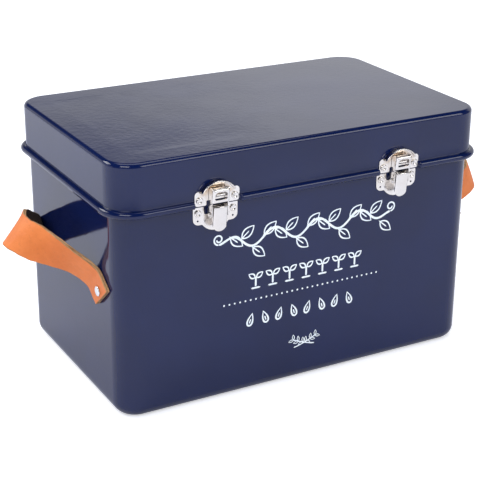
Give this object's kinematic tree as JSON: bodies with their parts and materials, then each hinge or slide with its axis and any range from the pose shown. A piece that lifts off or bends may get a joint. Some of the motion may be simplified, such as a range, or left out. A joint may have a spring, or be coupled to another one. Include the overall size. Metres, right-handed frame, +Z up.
{
  "type": "seed organizer box",
  "caption": "Hinged painted steel box with over-centre latches, leather strap handles and index cards for filing seed packets.",
  "frame": {"origin": "centre of the rim that the tub stands on", "axes": "+X to the right along the long side, +Y to the back, +Z up"},
  "size_m": [0.3892, 0.1957, 0.191],
  "materials": {
    "navy_enamel": "gloss powder coat",
    "latch_nickel": "bright nickel plate",
    "hinge_nickel": "nickel plate",
    "rivet_steel": "satin",
    "tan_leather": "waxed grain side out, suede inside",
    "card_stock": "matt kraft card"
  },
  "bodies": {
    "tub": {"body_tub": "navy_enamel", "centre_partition": "navy_enamel", "base_rivets": "latch_nickel", "hinge_body_rivets": "hinge_nickel", "handle_rivets": "rivet_steel", "handle_washers": "rivet_steel", "left_handle_strap": "tan_leather", "right_handle_strap": "tan_leather", "left_latch_base_plate": "latch_nickel", "left_latch_lever_pin": "latch_nickel", "left_hinge_body_leaf": "hinge_nickel", "left_hinge_pin": "hinge_nickel", "right_latch_base_plate": "latch_nickel", "right_latch_lever_pin": "latch_nickel", "right_hinge_body_leaf": "hinge_nickel", "right_hinge_pin": "hinge_nickel"},
    "lid": {"lid_shell": "navy_enamel", "keeper_rivets": "latch_nickel", "hinge_lid_rivets": "hinge_nickel", "left_latch_keeper": "latch_nickel", "right_latch_keeper": "latch_nickel", "left_hinge_lid_leaf": "hinge_nickel", "right_hinge_lid_leaf": "hinge_nickel"},
    "left_lever": {"left_latch_lever": "latch_nickel", "left_latch_claw_pin": "latch_nickel"},
    "left_claw": {"left_latch_claw": "latch_nickel"},
    "right_lever": {"right_latch_lever": "latch_nickel", "right_latch_claw_pin": "latch_nickel"},
    "right_claw": {"right_latch_claw": "latch_nickel"},
    "card_01": {"index_card_01": "card_stock"},
    "card_02": {"index_card_02": "card_stock"},
    "card_03": {"index_card_03": "card_stock"},
    "card_04": {"index_card_04": "card_stock"},
    "card_05": {"index_card_05": "card_stock"},
    "card_06": {"index_card_06": "card_stock"},
    "card_07": {"index_card_07": "card_stock"},
    "card_08": {"index_card_08": "card_stock"},
    "card_09": {"index_card_09": "card_stock"},
    "card_10": {"index_card_10": "card_stock"},
    "card_11": {"index_card_11": "card_stock"},
    "card_12": {"index_card_12": "card_stock"}
  },
  "joints": [
    {"name": "lid_hinge", "type": "hinge", "parent": "tub", "child": "lid", "pos_m": [0, 0.094, 0.1512], "axis": [-1, 0, 0], "range_deg": [0, 105]},
    {"name": "left_latch_lever_turn", "type": "hinge", "parent": "tub", "child": "left_lever", "pos_m": [-0.075, -0.0951, 0.1523], "axis": [-1, 0, 0], "range_deg": [0, 105]},
    {"name": "left_latch_claw_turn", "type": "hinge", "parent": "left_lever", "child": "left_claw", "pos_m": [-0.075, -0.09446, 0.14774], "axis": [-1, 0, 0], "range_deg": [-105, 0]},
    {"name": "right_latch_lever_turn", "type": "hinge", "parent": "tub", "child": "right_lever", "pos_m": [0.075, -0.0951, 0.1523], "axis": [-1, 0, 0], "range_deg": [0, 105]},
    {"name": "right_latch_claw_turn", "type": "hinge", "parent": "right_lever", "child": "right_claw", "pos_m": [0.075, -0.09446, 0.14774], "axis": [-1, 0, 0], "range_deg": [-105, 0]},
    {"name": "card_01_slide", "type": "slide", "parent": "tub", "child": "card_01", "axis": [0, 1, 0], "range_m": [-0.01, 0.01]},
    {"name": "card_02_slide", "type": "slide", "parent": "tub", "child": "card_02", "axis": [0, 1, 0], "range_m": [-0.01, 0.01]},
    {"name": "card_03_slide", "type": "slide", "parent": "tub", "child": "card_03", "axis": [0, 1, 0], "range_m": [-0.01, 0.01]},
    {"name": "card_04_slide", "type": "slide", "parent": "tub", "child": "card_04", "axis": [0, 1, 0], "range_m": [-0.01, 0.01]},
    {"name": "card_05_slide", "type": "slide", "parent": "tub", "child": "card_05", "axis": [0, 1, 0], "range_m": [-0.01, 0.01]},
    {"name": "card_06_slide", "type": "slide", "parent": "tub", "child": "card_06", "axis": [0, 1, 0], "range_m": [-0.01, 0.01]},
    {"name": "card_07_slide", "type": "slide", "parent": "tub", "child": "card_07", "axis": [0, 1, 0], "range_m": [-0.01, 0.01]},
    {"name": "card_08_slide", "type": "slide", "parent": "tub", "child": "card_08", "axis": [0, 1, 0], "range_m": [-0.01, 0.01]},
    {"name": "card_09_slide", "type": "slide", "parent": "tub", "child": "card_09", "axis": [0, 1, 0], "range_m": [-0.01, 0.01]},
    {"name": "card_10_slide", "type": "slide", "parent": "tub", "child": "card_10", "axis": [0, 1, 0], "range_m": [-0.01, 0.01]},
    {"name": "card_11_slide", "type": "slide", "parent": "tub", "child": "card_11", "axis": [0, 1, 0], "range_m": [-0.01, 0.01]},
    {"name": "card_12_slide", "type": "slide", "parent": "tub", "child": "card_12", "axis": [0, 1, 0], "range_m": [-0.01, 0.01]}
  ],
  "couplings": [
    {"joint": "left_latch_claw_turn", "follows": "left_latch_lever_turn", "ratio": -1},
    {"joint": "right_latch_claw_turn", "follows": "right_latch_lever_turn", "ratio": -1}
  ]
}
